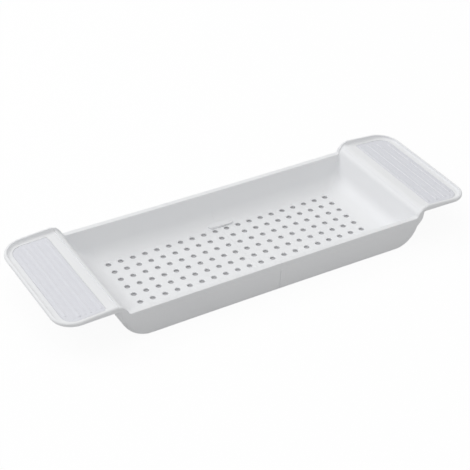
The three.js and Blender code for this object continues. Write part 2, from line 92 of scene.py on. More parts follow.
# %% Sizes of the floor and the long sides
MM = 0.001
SKIN = 2.5 * MM
RIM_HEIGHT = 43.5 * MM
RIM_WIDTH = 7.6 * MM
RIM_EDGE = 0.9 * MM
INNER_LEAN = 13.6 * MM
FLOOR_FILLET = 22.8 * MM
END_FILLET = 7 * MM
BAND_HEIGHT = 9.5 * MM
LEDGE = 0.6 * MM
OUTER_LEAN = 1.7 * MM
FOOT_EDGE = 1.5 * MM
SIDE_BOW = 1.2 * MM
INNER_DRAFT = math.atan(INNER_LEAN / (RIM_HEIGHT - SKIN))
FILLET_TURN = math.pi / 2 - INNER_DRAFT
SKIN_ACROSS = SKIN / math.cos(INNER_DRAFT)
print("the inner wall leans", round(math.degrees(INNER_DRAFT), 1), "degrees")

# %% Sizes of the end wall and the wing
END_ARC_START = 189 * MM
END_ARC_RADIUS = 36 * MM
END_SLOPE = math.radians(68)
SHOULDER_RADIUS = 15.8 * MM
END_GAP = 10 * MM
END_CORNER = 11 * MM
END_CORNER_LEAD = 19 * MM
WING_END = 324 * MM
WING_HALF_WIDTH = 102.6 * MM
WING_TOP = 54 * MM
WING_FALL_SHARE = 0.058
WING_SKIN = 3.4 * MM
WING_CORNER = 32 * MM
LIP_WIDTH = 4.1 * MM
LIP_ROUND = 3 * MM
LIP_RUN = 3.6 * MM
LIP_OUTER_RUN = 7.5 * MM
LIP_UNDER_RUN = 14 * MM
LIP_FOOT_HEIGHT = 48 * MM
LIP_HEIGHT_AT_SHOULDER = 5.9 * MM
LIP_HEIGHT_AT_END = 3.8 * MM
LIP_RISE_LEAD = 4.2 * MM
LIP_RISE_LENGTH = 20 * MM
LIP_LEAST = 3.5 * MM
BEAD_HEIGHT = 1.3 * MM
BEAD_RISE = (234.5 * MM, 237.5 * MM)
BEAD_DROP = (241.1 * MM, 241.35 * MM)
# The CAD keeps 0.3 mm between the halves. The seam looks finer than that.
SEAM = 0.05 * MM
RISE_BY_SLOPE = 1 - math.cos(END_SLOPE)
END_ARC_TOP = SKIN + END_ARC_RADIUS * RISE_BY_SLOPE
END_ARC_STOP = END_ARC_START + END_ARC_RADIUS * math.sin(END_SLOPE)
SHOULDER_FOOT = WING_TOP - SHOULDER_RADIUS * RISE_BY_SLOPE
SHOULDER_START = END_ARC_STOP + (SHOULDER_FOOT - END_ARC_TOP) / math.tan(END_SLOPE)
SHOULDER_STOP = SHOULDER_START + SHOULDER_RADIUS * math.sin(END_SLOPE)
print("shoulder from", round(SHOULDER_START / MM), "to", round(SHOULDER_STOP / MM), "mm")

# %% Rules for widths and heights along the half


def lerp(start, end, share):
    """The value at a share of the way from start to end."""
    return start + (end - start) * share


def smoothstep(value, low, high):
    """A soft switch from 0 at low to 1 at high."""
    share = min(max((value - low) / (high - low), 0), 1)
    return share * share * (3 - 2 * share)


def half_width(x):
    """The long sides bow in a little towards the seam."""
    share = min(x / SHOULDER_START, 1)
    return WING_HALF_WIDTH - SIDE_BOW * (1 - share * share)


def wing_fall(x):
    """How far the wing has fallen at x on its way outwards."""
    return WING_FALL_SHARE * np.maximum(x - SHOULDER_STOP, 0)


def edge_height(x):
    """Top of the rim or lip before the fall: level along the tray, an S up, then slowly down."""
    along_wing = max(0, (x - SHOULDER_STOP) / (WING_END - SHOULDER_STOP))
    lip_top = WING_TOP + lerp(LIP_HEIGHT_AT_SHOULDER, LIP_HEIGHT_AT_END, along_wing**2)
    start = SHOULDER_START - LIP_RISE_LEAD
    return lerp(RIM_HEIGHT, lip_top, smoothstep(x, start, start + LIP_RISE_LENGTH))


def bead(x):
    """A low bead along the shoulder's crest, which drops to the wing with a small step."""
    return BEAD_HEIGHT * (smoothstep(x, *BEAD_RISE) - smoothstep(x, *BEAD_DROP))


def inner_face(width, z):
    """How far out the leaning inner wall stands at this height."""
    return width - RIM_WIDTH - INNER_LEAN * (RIM_HEIGHT - z) / (RIM_HEIGHT - SKIN)


def outer_face(width, z):
    """How far out the outer wall stands at this height, below the rim's band."""
    return width + LEDGE - OUTER_LEAN * (RIM_HEIGHT - z) / RIM_HEIGHT


def fillet_start(width, floor, radius):
    """Half width at which the flat floor turns into the fillet."""
    return inner_face(width, floor) - radius * math.tan(FILLET_TURN / 2)


print("half width at the seam", round(half_width(0) / MM, 1), "mm")

# %% [markdown]
# ### Sections
# A section is a chain of straight runs and arcs. Each of them is a small function from 0 to 1,
# and the chain samples each one a fixed number of times. The tray's chain and the wing's chain
# have the same counts, so one can turn into the other point by point over the shoulder.

# %% Chains of runs and arcs
# How finely a straight run, a rim's rounded edge and each of the longer arcs are drawn.
FINE = 3
RIM_STEPS = 3
FILLET_STEPS = 5 * FINE
FOOT_STEPS = 3 * FINE
HOLLOW_STEPS = 3 * FINE


def run(start, end):
    """A straight run."""
    return lambda share: lerp(np.array(start), np.array(end), share)


def round_off(start, corner, end):
    """A rounded corner that leaves along both of its sides."""
    return lambda share: lerp(run(start, corner)(share), run(corner, end)(share), share)


def chain(parts):
    """Samples of each part, and the end of the last one."""
    points = [shape(i / steps) for shape, steps in parts for i in range(steps)]
    return [*points, parts[-1][0](1)]


print("middle of a rounded corner:", round_off((0, 0), (1, 0), (1, 1))(0.5))

# %% The tray's section


def tray_section(at, width, edge):
    """One side at a station, from the floor over the rim, round the hollow and back under."""
    wall = edge - at.z
    radius = min(lerp(FLOOR_FILLET, END_FILLET, at.slope / END_SLOPE), wall - RIM_EDGE)
    start = fillet_start(width, at.z, radius)
    band_foot = edge - min(BAND_HEIGHT, wall / 2)
    outer = outer_face(width, at.under_z)
    foot_room = (band_foot - LEDGE - at.under_z) / 2 / math.cos(at.slope)
    foot = min(lerp(FOOT_EDGE, END_CORNER, at.slope / END_SLOPE), foot_room)
    strip = SKIN + END_CORNER * smoothstep(at.x, END_ARC_START - END_CORNER_LEAD, END_ARC_START)
    hollow_top = edge - SKIN
    reach = min(radius + SKIN, hollow_top - at.under_z)

    def arc(x, floor, size, share):
        turn = FILLET_TURN * share
        return np.array((x, start + size * math.sin(turn), floor + size * (1 - math.cos(turn))))

    def foot_arc(share):
        turn = math.pi / 2 * share
        rise = foot * (1 - math.sin(turn))
        return np.array((
            at.outer_x - rise * math.sin(at.slope),
            outer - foot * (1 - math.cos(turn)),
            at.under_z + rise * math.cos(at.slope),
        ))

    inside = inner_face(width, edge)
    rim_inner = (at.x, inside - RIM_EDGE * math.tan(INNER_DRAFT), edge - RIM_EDGE)
    rim_outer = (at.x, width, edge - RIM_EDGE)
    band = (at.x, width, band_foot)
    ledge = (at.x, outer_face(width, band_foot - LEDGE), band_foot - LEDGE)
    strip_end = (at.outer_x, outer - strip, at.under_z)
    hollow_outer = (at.under_x, width - SKIN, hollow_top)
    hollow_inner = (at.under_x, inner_face(width, hollow_top) + SKIN_ACROSS, hollow_top)
    top_inner = (at.x, inside + RIM_EDGE, edge)
    top_outer = (at.x, width - RIM_EDGE, edge)
    return chain([
        (lambda share: arc(at.x, at.z, radius, share), FILLET_STEPS),
        (run(arc(at.x, at.z, radius, 1), rim_inner), FINE),
        (round_off(rim_inner, (at.x, inside, edge), top_inner), RIM_STEPS),
        (run(top_inner, top_outer), 1),
        (round_off(top_outer, (at.x, width, edge), rim_outer), RIM_STEPS),
        (run(rim_outer, band), FINE),
        (run(band, ledge), FINE),
        (run(ledge, foot_arc(0)), FINE),
        (foot_arc, FOOT_STEPS),
        (run(foot_arc(1), strip_end), FINE),
        (run(strip_end, hollow_outer), FINE),
        (run(hollow_outer, hollow_inner), FINE),
        (run(hollow_inner, arc(at.under_x, at.under_z, reach, 1)), FINE),
        (lambda share: arc(at.under_x, at.under_z, reach, 1 - share), HOLLOW_STEPS),
    ])


print("the floor's fillet has", FILLET_STEPS, "steps and a straight run has", FINE)

# %% The wing's section


def wing_section(width, top, under, edge, foot):
    """The lip curls up from the wing, and its outer face curves down to a foot."""
    inner = width - LIP_WIDTH
    rim_inner = (inner, edge - RIM_EDGE)
    rim_outer = (width, edge - LIP_ROUND)

    def lip_inside(share):
        turn = math.pi / 2 * share
        rise = (edge - RIM_EDGE - top) * (1 - math.cos(turn))
        return np.array((inner - LIP_RUN * (1 - math.sin(turn)), top + rise))

    def lip_outside(share):
        turn = math.pi / 2 * share
        fall = (edge - LIP_ROUND - foot) * math.sin(turn)
        return np.array((width - LIP_OUTER_RUN * (1 - math.cos(turn)), edge - LIP_ROUND - fall))

    # Each part has as many steps as the tray's parts that it turns into.
    return chain([
        (lip_inside, FILLET_STEPS + FINE),
        (round_off(rim_inner, (inner, edge), (inner + RIM_EDGE, edge)), RIM_STEPS),
        (run((inner + RIM_EDGE, edge), (width - LIP_ROUND, edge)), 1),
        (round_off((width - LIP_ROUND, edge), (width, edge), rim_outer), RIM_STEPS),
        (lip_outside, 5 * FINE + FOOT_STEPS),
        (
            run((width - LIP_OUTER_RUN, foot), (width - LIP_UNDER_RUN, under)),
            2 * FINE + HOLLOW_STEPS,
        ),
    ])


print("the lip is", round((edge_height(WING_END) - WING_TOP) / MM, 1), "mm high at the wing's end")

# %% Stations along the half
STATION_COUNTS = SimpleNamespace(floor=8, arc=28, slope=8, shoulder=28, wing=8, corner=28)


def station(x, z, slope=0.0, corner=0.0):
    """A place along the half, with the underside square to it and the outer end wall beyond."""
    blend = smoothstep(x, END_ARC_STOP, SHOULDER_STOP)
    skin = lerp(SKIN, WING_SKIN, blend)
    under_x = x + skin * math.sin(slope)
    gap = END_GAP * (1 - blend) if slope > 0 else 0
    return SimpleNamespace(
        x=x, z=z + bead(x), slope=slope, corner=corner, blend=blend,
        under_x=under_x, under_z=z - skin * math.cos(slope), outer_x=under_x + gap,
    )


def stations():
    """From the seam along the floor, up the end and over the wing, and round its corner."""
    count = STATION_COUNTS
    found = []
    for i in range(count.floor + 1):
        found.append(station(lerp(SEAM, END_ARC_START, i / count.floor), SKIN))
    for i in range(1, count.arc + 1):
        turn = END_SLOPE * i / count.arc
        rise = END_ARC_RADIUS * (1 - math.cos(turn))
        found.append(station(END_ARC_START + END_ARC_RADIUS * math.sin(turn), SKIN + rise, turn))
    for i in range(1, count.slope + 1):
        share = i / count.slope
        x = lerp(END_ARC_STOP, SHOULDER_START, share)
        found.append(station(x, lerp(END_ARC_TOP, SHOULDER_FOOT, share), END_SLOPE))
    turns = [END_SLOPE * (1 - i / count.shoulder) for i in range(1, count.shoulder + 1)]
    turns += [math.asin((SHOULDER_STOP - x) / SHOULDER_RADIUS) for x in BEAD_DROP]
    for turn in sorted(turns, reverse=True):
        x = SHOULDER_STOP - SHOULDER_RADIUS * math.sin(turn)
        drop = SHOULDER_RADIUS * (1 - math.cos(turn))
        found.append(station(x, WING_TOP - drop, turn))
    for i in range(1, count.wing + 1):
        x = lerp(SHOULDER_STOP, WING_END - WING_CORNER, i / count.wing)
        found.append(station(x, WING_TOP))
    for i in range(1, count.corner + 1):
        turn = math.pi / 2 * i / count.corner
        found.append(station(WING_END - WING_CORNER, WING_TOP, corner=turn))
    return found


places = stations()
print(len(places), "stations")

# %% Points of each section


def section_points(at):
    """One side's points at a station: the tray's, turning into the wing's over the shoulder."""
    width = half_width(at.x)
    ahead = at.x + WING_CORNER * math.sin(at.corner)
    edge = max(edge_height(ahead), at.z + LIP_LEAST)
    foot = min(at.under_z, LIP_FOOT_HEIGHT + wing_fall(ahead))
    points = np.array(tray_section(at, width, edge))
    wing = np.array(wing_section(width, at.z, at.under_z, edge, foot))
    points[:, 1:] = lerp(points[:, 1:], wing, at.blend)
    if at.corner > 0:
        from_centre = points[:, 1] - (width - WING_CORNER)
        points[:, 0] += from_centre * math.sin(at.corner)
        points[:, 1] = width - WING_CORNER + from_centre * math.cos(at.corner)
    points[:, 2] -= wing_fall(points[:, 0])
    return points


sections = [section_points(at) for at in places]
print(len(sections), "sections of", len(sections[0]), "points")

# %% [markdown]
# ### From sections to a closed skin
# The two sides of each section make one ring. The skin joins ring to ring with four-sided
# faces, closes the seam with one flat face and closes the wing's end with a strip, so the
# result is one closed solid that other solids can be joined to or cut from.

# %% Loft of the skin


def new_piece(name, points, faces):
    """An object at the origin with this mesh, in metres."""
    mesh = bpy.data.meshes.new(name)
    mesh.from_pydata([tuple(p) for p in points], [], faces)
    mesh.validate()
    piece = bpy.data.objects.new(name, mesh)
    bpy.context.scene.collection.objects.link(piece)
    return piece


def skin_mesh(name):
    """The closed skin of a half."""
    lines = len(sections[0])
    last = len(sections) - 1
    far_side = np.concatenate(sections) * np.array((1, -1, 1))
    points = [*np.concatenate(sections), *far_side]
    near = [[s * lines + j for j in range(lines)] for s in range(last + 1)]
    far = [[v + len(points) // 2 for v in row] for row in near]
    faces = []
    for s in range(last):
        a, b, c, d = near[s], near[s + 1], far[s], far[s + 1]
        for j in range(lines - 1):
            faces.append((a[j], b[j], b[j + 1], a[j + 1]))
            faces.append((c[j + 1], d[j + 1], d[j], c[j]))
        faces.append((c[0], d[0], b[0], a[0]))
        faces.append((a[-1], b[-1], d[-1], c[-1]))
    for j in range(lines - 1):
        faces.append((far[last][j], far[last][j + 1], near[last][j + 1], near[last][j]))
    faces.append((*near[0], *reversed(far[0])))
    return new_piece(name, points, faces)


half = skin_mesh("tray_half_right_look")
print("skin:", len(half.data.polygons), "faces")

# %% [markdown]
# ### The outer end wall, the plug, the tongue and the collar
# Behind the sloping end there is a second wall, so that the tray's end looks solid from
# outside. At the seam the back wall carries a plug that slides into the other half's hollow
# wall, the front of the floor carries a flat tongue that laps over the other floor, and a
# shallow collar frames the seam outside. They could be cut out of a block, but each is simple
# when it is drawn as an outline and carried along one axis.

# %% Helpers for lofts and prisms


def volume(mesh):
    """Signed volume: it is below zero when the faces point inwards."""
    shape = bmesh.new()
    shape.from_mesh(mesh)
    found = shape.calc_volume(signed=True)
    shape.free()
    return found


def loft(name, rings):
    """A closed solid through rings of the same length, turned so that its faces point out."""
    size = len(rings[0])
    points = [p for ring in rings for p in ring]
    faces = [tuple(range(size))[::-1], tuple(range(len(points) - size, len(points)))]
    for r in range(0, len(points) - size, size):
        for i in range(size):
            j = (i + 1) % size
            faces.append((r + i, r + j, r + size + j, r + size + i))
    piece = new_piece(name, points, faces)
    if volume(piece.data) < 0:
        piece.data.flip_normals()
    return piece


def prism_along_x(name, outline, start, end):
    """An outline in Y and Z, carried along X."""
    return loft(name, [[(x, y, z) for y, z in outline] for x in (start, end)])


print("the skin holds", round(volume(half.data) / MM**3 / 1000), "cubic centimetres")

# %% Helpers for rounded slabs
ROUND_STEPS = 10
LEAST_ROUND = 0.3 * MM


def rounded_plan(left, right, front, rear, left_radius, right_radius, grow=0.0):
    """A rectangle in plan with round corners, grown outwards all round."""
    points = []
    corners = (
        (right, rear, 1, 1), (left, rear, -1, 1),
        (left, front, -1, -1), (right, front, 1, -1),
    )
    for quarter, (x, y, side_x, side_y) in enumerate(corners):
        radius = max((right_radius if side_x > 0 else left_radius) + grow, LEAST_ROUND)
        centre_x = x + side_x * (grow - radius)
        centre_y = y + side_y * (grow - radius)
        for i in range(ROUND_STEPS + 1):
            turn = math.pi / 2 * (quarter + i / ROUND_STEPS)
            points.append((centre_x + radius * math.cos(turn), centre_y + radius * math.sin(turn)))
    return points


def stack(name, plan, levels):
    """A solid from plan outlines, one above the other: each level is a growth and a height."""
    return loft(name, [[(x, y, z) for x, y in plan(grow)] for grow, z in levels])


def rounded_levels(low, high, low_edge, high_edge):
    """Levels of a slab whose lower and upper edges are rounded."""
    levels = []
    for i in range(RIM_STEPS + 1):
        turn = math.pi / 2 * i / RIM_STEPS
        levels.append((low_edge * (math.sin(turn) - 1), low + low_edge * (1 - math.cos(turn))))
    for i in range(RIM_STEPS + 1):
        turn = math.pi / 2 * i / RIM_STEPS
        levels.append((high_edge * (math.cos(turn) - 1), high - high_edge * (1 - math.sin(turn))))
    return levels


print("a quarter turn is drawn in", ROUND_STEPS, "steps")

# %% Helpers that settle and combine pieces
# How far a solid reaches into or past the one that it joins or cuts.
OVERRUN = 1 * MM


def settle(piece):
    """Keep what the modifiers make as the piece's own plain mesh, and remove them."""
    graph = bpy.context.evaluated_depsgraph_get()
    made = bpy.data.meshes.new_from_object(piece.evaluated_get(graph), depsgraph=graph)
    piece.modifiers.clear()
    old = piece.data
    piece.data = made
    bpy.data.meshes.remove(old)
    return piece


def combine(piece, other, operation):
    """Join the other solid to the piece, cut it away, or keep what they share."""
    change = piece.modifiers.new(operation.lower(), "BOOLEAN")
    change.operation = operation
    change.solver = "MANIFOLD"
    change.object = other
    settle(piece)
    bpy.data.objects.remove(other)
    return piece


print("a cutting solid reaches", OVERRUN / MM, "mm past what it cuts")

# %% Outer end wall
# The point of each section where the foot's arc ends and the strip under the wall begins.
CORNER_LINE = FILLET_STEPS + 4 * FINE + 2 * RIM_STEPS + 1 + FOOT_STEPS


def end_wall():
    """A curved panel that ends half way across the strip which each round corner leaves."""
    rings = []
    for at, points in zip(places, sections):
        if at.slope > 0 and at.x < SHOULDER_STOP:
            x, y, z = (points[CORNER_LINE] + points[CORNER_LINE + FINE]) / 2
            inner_x = x - SKIN * math.sin(at.slope)
            inner_z = z + SKIN * math.cos(at.slope)
            rings.append([(x, y, z), (inner_x, y, inner_z), (inner_x, -y, inner_z), (x, -y, z)])
    return loft("end_wall", rings)


combine(half, end_wall(), "UNION")
print("with the end wall:", len(half.data.polygons), "faces")

# %% Plug
PLUG_LENGTH = 23 * MM
PLUG_ROOT = 8 * MM
PLUG_CLEARANCE = 0.4 * MM
PLUG_FOOT = 3 * MM
PLUG_EDGE = 0.6 * MM
PLUG_EDGE_STEPS = 2
PLUG_WALL = 1.8 * MM
PLUG_POCKETS = 4
PLUG_POCKET_TOP = 24 * MM


def hollow_outline(clearance, foot, head):
    """The hollow in the side wall at the seam, drawn in by a clearance."""
    width = half_width(0)
    top = RIM_HEIGHT - SKIN

    def outer_at(z):
        return lerp(outer_face(width, 0), width, z / top) - SKIN - clearance

    def inner_at(z):
        return inner_face(width, z) + SKIN_ACROSS + clearance

    return [
        (inner_at(foot), foot), (outer_at(foot), foot),
        (outer_at(head), head), (inner_at(head), head),
    ]


def plug():
    """A block with rounded edges and pockets from below, on a root that fills its own hollow."""
    head = RIM_HEIGHT - SKIN
    outline = hollow_outline(PLUG_CLEARANCE, PLUG_FOOT, head - PLUG_CLEARANCE)
    piece = prism_along_x("plug", outline, -PLUG_LENGTH, PLUG_ROOT - OVERRUN)
    bevel = piece.modifiers.new("edges", "BEVEL")
    bevel.width = PLUG_EDGE
    bevel.segments = PLUG_EDGE_STEPS
    settle(piece)
    root_outline = hollow_outline(-OVERRUN, PLUG_FOOT, head + OVERRUN)
    combine(piece, prism_along_x("root", root_outline, SEAM, PLUG_ROOT), "UNION")
    pocket_outline = hollow_outline(PLUG_CLEARANCE + PLUG_WALL, 0, PLUG_POCKET_TOP)
    first = -PLUG_LENGTH + PLUG_WALL
    pitch = (PLUG_ROOT - first) / PLUG_POCKETS
    for i in range(PLUG_POCKETS):
        start = first + i * pitch
        pocket = prism_along_x("pocket", pocket_outline, start, start + pitch - PLUG_WALL)
        combine(piece, pocket, "DIFFERENCE")
    return piece


combine(half, plug(), "UNION")
print("with the plug:", len(half.data.polygons), "faces")

# %% Tongue
TONGUE_REACH = 24.5 * MM
TONGUE_ROOT = 15 * MM
TONGUE_WIDTH = 10.5 * MM
TONGUE_HEIGHT = 3.2 * MM
TONGUE_CLEARANCE = 0.5 * MM
TONGUE_EDGE = 0.8 * MM
TONGUE_FLOOR_LAP = 1.24 * MM
TONGUE_INNER_Y = fillet_start(half_width(0), SKIN, FLOOR_FILLET) - TONGUE_FLOOR_LAP


def under_tongue(gap):
    """What lies under the tongue: the floor and its fillet, thicker by the gap."""
    start = fillet_start(half_width(0), SKIN, FLOOR_FILLET)
    radius = FLOOR_FILLET - gap
    deep = -RIM_HEIGHT
    points = [(0, deep), (0, SKIN + gap)]
    for i in range(ROUND_STEPS + 1):
        turn = FILLET_TURN * i / ROUND_STEPS
        y = -start - radius * math.sin(turn)
        points.append((y, SKIN + FLOOR_FILLET - radius * math.cos(turn)))
    return [*points, (-WING_HALF_WIDTH, points[-1][1]), (-WING_HALF_WIDTH, deep)]


def tongue():
    """A flat pill with a rounded top, clear of the other half's floor and sunk into its own."""
    outer = -TONGUE_INNER_Y - TONGUE_WIDTH

    def plan(grow):
        radius = TONGUE_WIDTH / 2
        return rounded_plan(
            -TONGUE_REACH, TONGUE_ROOT, outer, -TONGUE_INNER_Y, radius, radius, grow,
        )

    levels = rounded_levels(-OVERRUN, SKIN + TONGUE_HEIGHT, 0, TONGUE_EDGE)[RIM_STEPS:]
    piece = stack("tongue", plan, levels)
    lap = prism_along_x("lap", under_tongue(TONGUE_CLEARANCE), -WING_END, SEAM)
    combine(piece, lap, "DIFFERENCE")
    root = prism_along_x("root", under_tongue(-OVERRUN), SEAM - OVERRUN, WING_END)
    return combine(piece, root, "DIFFERENCE")


combine(half, tongue(), "UNION")
print("with the tongue:", len(half.data.polygons), "faces")

# %% Collar
COLLAR_LENGTH = 6.4 * MM
COLLAR_RAISE = 0.6 * MM
COLLAR_CORNER = 3 * MM
COLLAR_FOOT = 3.6 * MM
COLLAR_LEDGE_GAP = 1.1 * MM
COLLAR_TOP = RIM_HEIGHT - BAND_HEIGHT - LEDGE - COLLAR_LEDGE_GAP


def collar():
    """A shallow panel on the front wall, with its far corners rounded and its edge bevelled."""
    width = half_width(0)

    def face(shrink, raised):
        points = [(SEAM, COLLAR_FOOT + shrink)]
        for centre_z, first in (
            (COLLAR_FOOT + COLLAR_CORNER, -math.pi / 2),
            (COLLAR_TOP - COLLAR_CORNER, 0),
        ):
            for i in range(ROUND_STEPS + 1):
                turn = first + math.pi / 2 * i / ROUND_STEPS
                reach = COLLAR_CORNER - shrink
                points.append((
                    COLLAR_LENGTH - COLLAR_CORNER + reach * math.cos(turn),
                    centre_z + reach * math.sin(turn),
                ))
        points.append((SEAM, COLLAR_TOP - shrink))
        return [(x, -outer_face(width, z) - raised, z) for x, z in points]

    middle = COLLAR_RAISE / 2
    return loft("collar", [face(0, -OVERRUN), face(0, middle), face(middle, COLLAR_RAISE)])


combine(half, collar(), "UNION")
print("with the collar:", len(half.data.polygons), "faces")

# %% [markdown]
# ### The grip's recess
# The grip lies in a shallow recess of the wing. It could simply lie on top, but then no fine
# line would show round it. So a solid with the grip's own outline, a little larger, is cut from
# the wing. It widens at its top, which leaves a small chamfer, as a moulding has.

# %% Recess
GRIP_LENGTH = 55.5 * MM
GRIP_INNER_CORNER = 4 * MM
GRIP_OUTER_CORNER = 17 * MM
GRIP_END_INSET = 13 * MM
GRIP_SIDE_INSET = 11.3 * MM
GRIP_PLATE = 1 * MM
GRIP_SINK = 0.2 * MM
GRIP_CLEARANCE = 0.3 * MM
GRIP_HALF_WIDTH = WING_HALF_WIDTH - GRIP_SIDE_INSET
GRIP_OUTER_X = WING_END - GRIP_END_INSET
GRIP_INNER_X = GRIP_OUTER_X - GRIP_LENGTH
GRIP_TOP = WING_TOP - GRIP_SINK
RECESS_FLOOR = GRIP_TOP - GRIP_PLATE - GRIP_CLEARANCE
RECESS_CHAMFER = 0.3 * MM


def grip_plan(grow):
    """The grip's outline in plan, grown outwards all round."""
    return rounded_plan(
        GRIP_INNER_X, GRIP_OUTER_X, -GRIP_HALF_WIDTH, GRIP_HALF_WIDTH,
        GRIP_INNER_CORNER, GRIP_OUTER_CORNER, grow,
    )


def lean(piece):
    """Lean a level piece so that it follows the falling wing."""
    for vertex in piece.data.vertices:
        vertex.co.z -= wing_fall(vertex.co.x)
    return piece


recess = stack("recess", grip_plan, [
    (GRIP_CLEARANCE, RECESS_FLOOR),
    (GRIP_CLEARANCE, WING_TOP - RECESS_CHAMFER),
    (GRIP_CLEARANCE + RECESS_CHAMFER + OVERRUN, WING_TOP + OVERRUN),
])
combine(half, lean(recess), "DIFFERENCE")
print("with the recess:", len(half.data.polygons), "faces")

# %% [markdown]
# ## Nodes: one helper
# Every geometry tree and every material below is a graph of nodes. One function adds a node,
# sets its options and fills its inputs, either with a value or with another node's output.

# %% Helper that adds a node


def add(tree, kind, inputs=None, **options):
    """Add a node. An input is a value, an output to link, or a list of outputs to link."""
    made = tree.nodes.new(kind)
    for name, value in options.items():
        setattr(made, name, value)
    for key, value in (inputs or {}).items():
        sources = value if isinstance(value, list) else [value]
        for source in sources:
            if isinstance(source, bpy.types.NodeSocket):
                tree.links.new(source, made.inputs[key])
            else:
                made.inputs[key].default_value = source
    return made


def linear(hex_colour):
    """An sRGB hex colour as linear red, green, blue and alpha."""
    parts = [int(hex_colour[i : i + 2], 16) / 255 for i in (1, 3, 5)]
    return (*(p / 12.92 if p <= 0.04045 else ((p + 0.055) / 1.055) ** 2.4 for p in parts), 1.0)


def geometry_tree(name, inputs):
    """An empty geometry tree with named inputs, and its input node."""
    tree = bpy.data.node_groups.new(name, "GeometryNodeTree")
    tree.interface.new_socket("Geometry", in_out="INPUT", socket_type="NodeSocketGeometry")
    tree.interface.new_socket("Geometry", in_out="OUTPUT", socket_type="NodeSocketGeometry")
    for label, kind in inputs.items():
        tree.interface.new_socket(label, in_out="INPUT", socket_type=f"NodeSocket{kind}")
    return tree, tree.nodes.new("NodeGroupInput").outputs


def grow_with(piece, tree, values):
    """Run a geometry tree on a piece with these input values, and keep the result."""
    change = piece.modifiers.new(tree.name, "NODES")
    change.node_group = tree
    for item in tree.interface.items_tree:
        if item.in_out == "INPUT" and item.name in values:
            change[item.identifier] = values[item.name]
    return settle(piece)


print("the middle grey #808080 is", round(linear("#808080")[0], 3), "in linear light")

# %% [markdown]
# ## The finishes
# The halves are moulded in white polypropylene from a mould with a fine satin texture. The eye
# sees a soft, even sheen with no sharp reflections, a faint grain, and slow changes of gloss
# where the plastic flowed. The grips are moulded in a soft elastomer, in a pale lilac grey.
# They are more matt and their colour is slightly mottled. The flanks of their ribs that face the
# tray are painted lighter, a painted highlight, which draws light lines across the grip. A plain
# colour would look like paint, so each finish has a colour, a roughness and a bump that vary with
# the place. The patterns read object coordinates, because every piece keeps its place in its mesh.

# %% Helper for a moulded finish
FLOW_DETAIL = 2.0
GRAIN_DETAIL = 3.0
# The painted highlight on a flank starts at the first steepness, and is full at the second.
HIGHLIGHT_STEEPNESS = (0.35, 0.6)


def moulded_finish(name, colours, highlight_colour, flow_size, grain_size, rough, grain_depth, **sockets):
    """Drifting colour and gloss, bumped grain, and painted highlight on flanks facing the tray."""
    finish = bpy.data.materials.new(name)
    finish.use_nodes = True
    tree = finish.node_tree
    tree.nodes.clear()
    place = add(tree, "ShaderNodeTexCoord").outputs["Object"]
    flow = add(tree, "ShaderNodeTexNoise", {
        "Vector": place, "Scale": 1 / flow_size, "Detail": FLOW_DETAIL,
    })
    grain = add(tree, "ShaderNodeTexNoise", {
        "Vector": place, "Scale": 1 / grain_size, "Detail": GRAIN_DETAIL,
    })
    colour = add(tree, "ShaderNodeMix", {
        "Factor": flow.outputs["Fac"], "A": linear(colours[0]), "B": linear(colours[1]),
    }, data_type="RGBA")
    facing = add(tree, "ShaderNodeNewGeometry").outputs["True Normal"]
    along = add(tree, "ShaderNodeSeparateXYZ", {"Vector": facing}).outputs["X"]
    across = add(tree, "ShaderNodeSeparateXYZ", {"Vector": place}).outputs["X"]
    side = add(tree, "ShaderNodeMath", {0: across}, operation="SIGN").outputs[0]
    outward = add(tree, "ShaderNodeMath", {0: along, 1: side}, operation="MULTIPLY").outputs[0]
    # Faces that are steep towards the tray are painted lighter: a painted highlight in place of
    # lit flanks.
    flanks = add(tree, "ShaderNodeMapRange", {
        "Value": outward, "From Min": -HIGHLIGHT_STEEPNESS[0], "From Max": -HIGHLIGHT_STEEPNESS[1],
    })
    with_highlight = add(tree, "ShaderNodeMix", {
        "Factor": flanks.outputs["Result"], "A": colour.outputs["Result"], "B": linear(highlight_colour),
    }, data_type="RGBA")
    gloss = add(tree, "ShaderNodeMapRange", {
        "Value": flow.outputs["Fac"], "To Min": rough[0], "To Max": rough[1],
    })
    bump = add(tree, "ShaderNodeBump", {"Height": grain.outputs["Fac"], "Distance": grain_depth})
    surface = add(tree, "ShaderNodeBsdfPrincipled", {
        "Base Color": with_highlight.outputs["Result"],
        "Roughness": gloss.outputs["Result"],
        "Normal": bump.outputs["Normal"],
        **sockets,
    })
    add(tree, "ShaderNodeOutputMaterial", {"Surface": surface.outputs["BSDF"]})
    return finish


print("flanks start at", round(math.degrees(math.asin(HIGHLIGHT_STEEPNESS[0]))), "degrees")

# %% White plastic
# The real grain is a few tenths of a millimetre. It is drawn at 1.6 mm, about a pixel, to show.
# The painted highlight on flanks takes the plastic's own colour here, so none shows.
WHITE_COLOURS = ("#eeeff1", "#f2f3f4")
white_plastic = moulded_finish(
    "satin_white_polypropylene", WHITE_COLOURS, WHITE_COLOURS[0],
    flow_size=55 * MM, grain_size=1.6 * MM, rough=(0.38, 0.48), grain_depth=0.03 * MM, IOR=1.49,
)
print("finish:", white_plastic.name)

# %% Soft grip
# The real grain of the grip is as fine, and is drawn at 1.4 mm for the same reason.
GRIP_COLOURS = ("#dfe0e6", "#e4e5ea")
# The grip's rib flanks towards the tray are painted this colour: a painted highlight.
GRIP_PAINTED_HIGHLIGHT_COLOUR = "#fafafc"
soft_grip = moulded_finish(
    "matt_lilac_elastomer", GRIP_COLOURS, GRIP_PAINTED_HIGHLIGHT_COLOUR,
    flow_size=14 * MM, grain_size=1.4 * MM, rough=(0.58, 0.7), grain_depth=0.02 * MM, IOR=1.5,
)
print("finish:", soft_grip.name)

